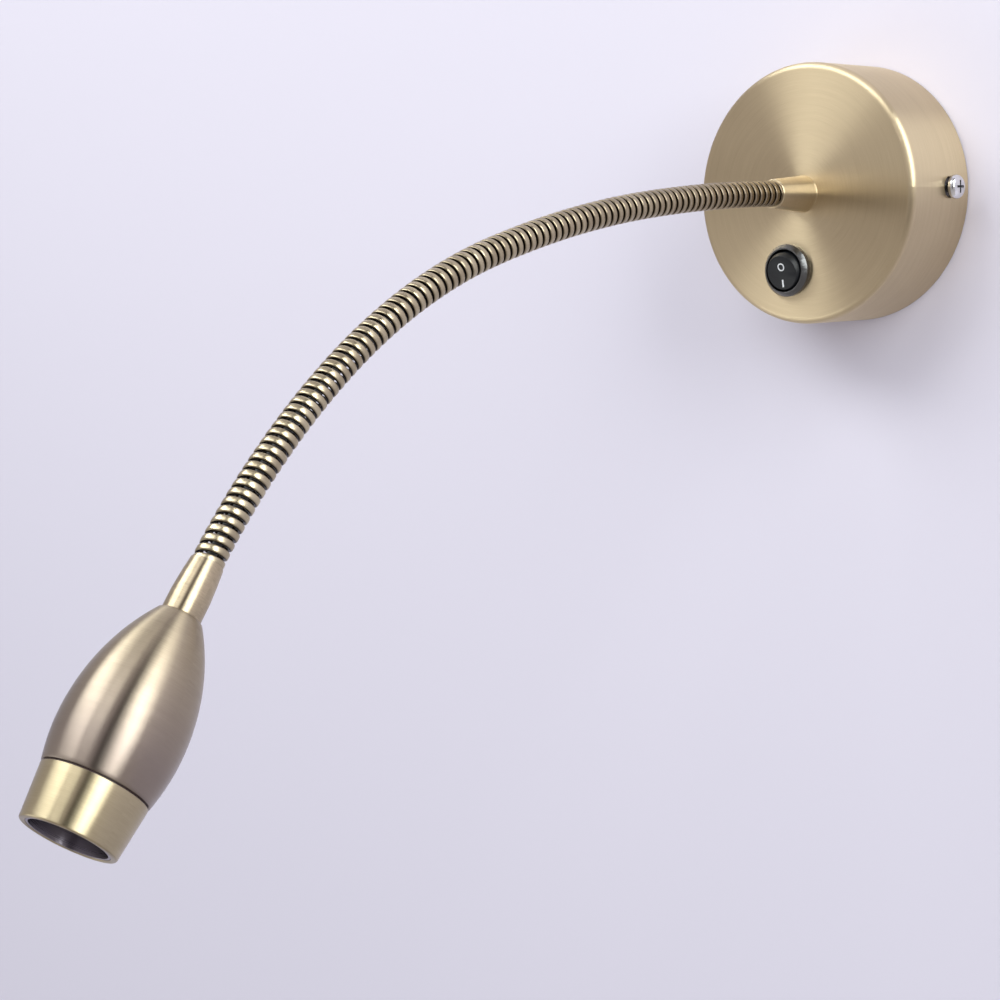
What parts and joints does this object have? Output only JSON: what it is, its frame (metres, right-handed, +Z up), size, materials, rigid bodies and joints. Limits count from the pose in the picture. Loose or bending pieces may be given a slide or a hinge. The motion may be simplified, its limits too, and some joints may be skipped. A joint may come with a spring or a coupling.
{
  "type": "wall reading lamp",
  "caption": "Wall reading lamp: round brass wall cup with a rocker switch, bendable ribbed hose neck and a bullet-shaped lamp head with an open front ring.",
  "frame": {"origin": "middle of the wall cup's open back, in the wall's plane, centre of the two wall-screw slots", "axes": "+Z up, +Y into the wall so that the lamp stands out along -Y, +X to the right for someone who faces the wall"},
  "size_m": [0.1088, 0.4005, 0.2334],
  "materials": {
    "brushed_brass": "brushed antique brass plating, satin",
    "bronze_brass": "brushed antique brass toned down to bronze, satin",
    "hose_brass": "antique brass winding, bright crests and dark grooves",
    "zinc_steel": "zinc plated steel",
    "chrome_screw": "bright chrome",
    "turned_brass": "plain turned brass",
    "switch_black": "black polyamide, satin gloss",
    "mark_white": "white pad print",
    "tunnel_black": "glossy black lining",
    "joint_dark": "dark red-brown rubber",
    "driver_white": "white polycarbonate",
    "board_green": "circuit board",
    "part_black": "moulded black parts",
    "terminal_clear": "natural polyamide",
    "lead_grey": "grey lead sheath",
    "wire_brown": "brown insulation",
    "wire_blue": "blue insulation",
    "wire_earth": "green and yellow insulation",
    "sink_aluminium": "extruded aluminium",
    "board_white": "white coated metal board",
    "led_yellow": "phosphor over a white package",
    "lens_clear": "clear moulded optic"
  },
  "bodies": {
    "base": {"wall_cup": "brushed_brass", "wall_plate": "zinc_steel", "side_screws": "chrome_screw", "driver_case": "driver_white", "driver_lid": "driver_white", "driver_board": "board_green", "driver_parts": "part_black", "terminal_block": "terminal_clear", "terminal_screws": "turned_brass", "plate_screws": "zinc_steel", "earth_lug": "turned_brass", "earth_screw": "zinc_steel", "switch_body": "switch_black", "switch_terminals": "turned_brass", "base_ferrule": "brushed_brass", "threaded_tube": "turned_brass", "lock_washer": "zinc_steel", "tube_nut": "zinc_steel", "live_wire": "wire_brown", "switched_wire": "wire_brown", "neutral_wire": "wire_blue", "earth_wire": "wire_earth", "neck_lead": "lead_grey", "neck_link_00": "hose_brass"},
    "rocker": {"rocker": "switch_black", "rocker_marks": "mark_white", "rocker_contact": "turned_brass"},
    "link_01": {"neck_link_01": "hose_brass"},
    "link_02": {"neck_link_02": "hose_brass"},
    "link_03": {"neck_link_03": "hose_brass"},
    "link_04": {"neck_link_04": "hose_brass"},
    "link_05": {"neck_link_05": "hose_brass"},
    "link_06": {"neck_link_06": "hose_brass"},
    "link_07": {"neck_link_07": "hose_brass"},
    "link_08": {"neck_link_08": "hose_brass"},
    "link_09": {"neck_link_09": "hose_brass"},
    "link_10": {"neck_link_10": "hose_brass"},
    "link_11": {"neck_link_11": "hose_brass"},
    "link_12": {"neck_link_12": "hose_brass"},
    "link_13": {"neck_link_13": "hose_brass"},
    "link_14": {"neck_link_14": "hose_brass"},
    "link_15": {"neck_link_15": "hose_brass"},
    "head": {"neck_link_16": "hose_brass", "head_ferrule": "brushed_brass", "head_shell": "bronze_brass", "head_nut": "zinc_steel", "joint_ring": "joint_dark", "front_ring": "brushed_brass", "glare_tunnel": "tunnel_black", "lens_holder": "part_black", "lens": "lens_clear", "led_board": "board_white", "led_chip": "led_yellow", "board_screws": "zinc_steel", "heat_sink": "sink_aluminium"}
  },
  "joints": [
    {"name": "root_bend_1", "type": "hinge", "parent": "base", "child": "link_01", "pos_m": [0, -0.06345, 0], "axis": [1, 0, 0], "range_deg": [-18, 10], "deforming": ["neck_lead"]},
    {"name": "root_swing_1", "type": "hinge", "parent": "link_01", "child": "link_02", "pos_m": [0, -0.08294, -0.00051], "axis": [0, -0.0523, 0.9986], "range_deg": [-12, 12], "deforming": ["neck_lead"]},
    {"name": "root_bend_2", "type": "hinge", "parent": "link_02", "child": "link_03", "pos_m": [0, -0.10242, -0.00153], "axis": [1, 0, 0], "range_deg": [-18, 10], "deforming": ["neck_lead"]},
    {"name": "root_swing_2", "type": "hinge", "parent": "link_03", "child": "link_04", "pos_m": [0, -0.12186, -0.00306], "axis": [0, -0.1045, 0.9945], "range_deg": [-12, 12], "deforming": ["neck_lead"]},
    {"name": "mid_near_bend_1", "type": "hinge", "parent": "link_04", "child": "link_05", "pos_m": [0, -0.14125, -0.0051], "axis": [1, 0, 0], "range_deg": [-18, 10], "deforming": ["neck_lead"]},
    {"name": "mid_near_swing_1", "type": "hinge", "parent": "link_05", "child": "link_06", "pos_m": [0, -0.16054, -0.00795], "axis": [0, -0.1874, 0.9823], "range_deg": [-12, 12], "deforming": ["neck_lead"]},
    {"name": "mid_near_bend_2", "type": "hinge", "parent": "link_06", "child": "link_07", "pos_m": [0, -0.17969, -0.0116], "axis": [1, 0, 0], "range_deg": [-18, 10], "deforming": ["neck_lead"]},
    {"name": "mid_near_swing_2", "type": "hinge", "parent": "link_07", "child": "link_08", "pos_m": [0, -0.19868, -0.01605], "axis": [0, -0.2689, 0.9632], "range_deg": [-12, 12], "deforming": ["neck_lead"]},
    {"name": "mid_far_bend_1", "type": "hinge", "parent": "link_08", "child": "link_09", "pos_m": [0, -0.21746, -0.0213], "axis": [1, 0, 0], "range_deg": [-18, 10], "deforming": ["neck_lead"]},
    {"name": "mid_far_swing_1", "type": "hinge", "parent": "link_09", "child": "link_10", "pos_m": [0, -0.23569, -0.02822], "axis": [0, -0.4384, 0.8988], "range_deg": [-12, 12], "deforming": ["neck_lead"]},
    {"name": "mid_far_bend_2", "type": "hinge", "parent": "link_10", "child": "link_11", "pos_m": [0, -0.25322, -0.03677], "axis": [1, 0, 0], "range_deg": [-18, 10], "deforming": ["neck_lead"]},
    {"name": "mid_far_swing_2", "type": "hinge", "parent": "link_11", "child": "link_12", "pos_m": [0, -0.2699, -0.04687], "axis": [0, -0.5934, 0.8049], "range_deg": [-12, 12], "deforming": ["neck_lead"]},
    {"name": "tip_bend_1", "type": "hinge", "parent": "link_12", "child": "link_13", "pos_m": [0, -0.28559, -0.05844], "axis": [0.9998, 0.0209, 0], "range_deg": [-18, 10], "deforming": ["neck_lead"]},
    {"name": "tip_swing_1", "type": "hinge", "parent": "link_13", "child": "link_14", "pos_m": [0.00031, -0.30053, -0.07098], "axis": [0.0289, -0.689, 0.7242], "range_deg": [-12, 12], "deforming": ["neck_lead"]},
    {"name": "tip_bend_2", "type": "hinge", "parent": "link_14", "child": "link_15", "pos_m": [0.0009, -0.31464, -0.08443], "axis": [0.998, 0.0628, 0], "range_deg": [-18, 10], "deforming": ["neck_lead"]},
    {"name": "tip_swing_2", "type": "hinge", "parent": "link_15", "child": "head", "pos_m": [0.00174, -0.32786, -0.09873], "axis": [0.0648, -0.7722, 0.632], "range_deg": [-12, 12], "deforming": ["neck_lead"]},
    {"name": "rocker_press", "type": "hinge", "parent": "base", "child": "rocker", "pos_m": [-0.0072, -0.0381, -0.0291], "axis": [-1, 0, 0], "range_deg": [0, 22]}
  ],
  "couplings": [
    {"joint": "root_bend_2", "follows": "root_bend_1", "ratio": 1},
    {"joint": "root_swing_2", "follows": "root_swing_1", "ratio": 1},
    {"joint": "mid_near_bend_2", "follows": "mid_near_bend_1", "ratio": 1},
    {"joint": "mid_near_swing_2", "follows": "mid_near_swing_1", "ratio": 1},
    {"joint": "mid_far_bend_2", "follows": "mid_far_bend_1", "ratio": 1},
    {"joint": "mid_far_swing_2", "follows": "mid_far_swing_1", "ratio": 1},
    {"joint": "tip_bend_2", "follows": "tip_bend_1", "ratio": 1},
    {"joint": "tip_swing_2", "follows": "tip_swing_1", "ratio": 1}
  ]
}
